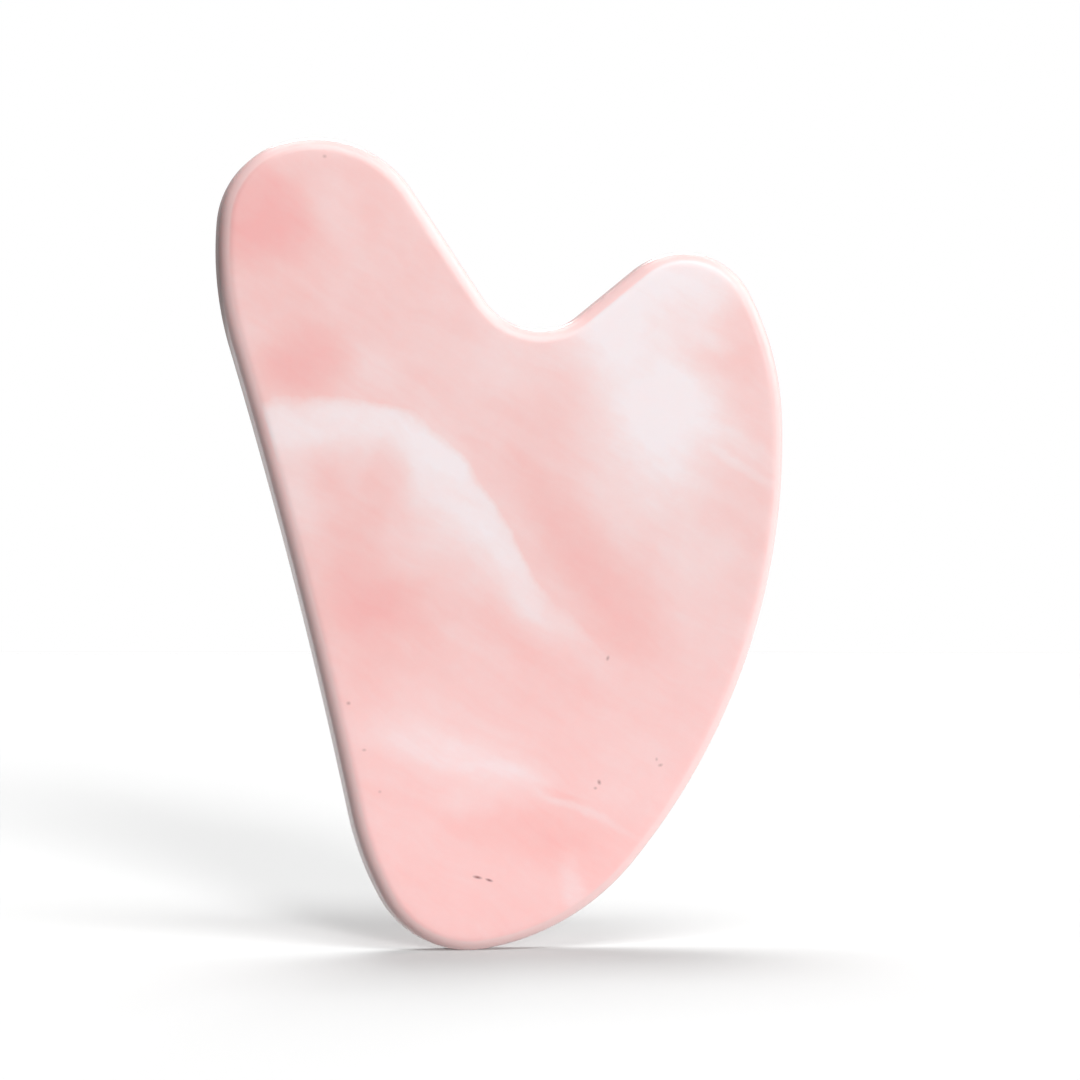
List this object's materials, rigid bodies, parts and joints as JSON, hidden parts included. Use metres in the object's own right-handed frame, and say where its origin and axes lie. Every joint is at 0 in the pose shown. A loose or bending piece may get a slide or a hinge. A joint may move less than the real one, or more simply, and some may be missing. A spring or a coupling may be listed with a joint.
{
  "type": "gua sha scraper",
  "caption": "Flat heart-shaped stone massage scraper with a rounded rim, a tall and a short lobe, a notch for the jaw line and a narrow tip.",
  "frame": {"origin": "middle of the bottom of the bounding box, level with the end of the narrow tip", "axes": "+Z along the length from the tip to the lobes, +X across the width towards the short lobe, -Y out of the front face"},
  "size_m": [0.0584, 0.005, 0.082],
  "materials": {
    "rose_quartz": "polished"
  },
  "bodies": {
    "root": {"scraper_stone": "rose_quartz"}
  },
  "joints": []
}
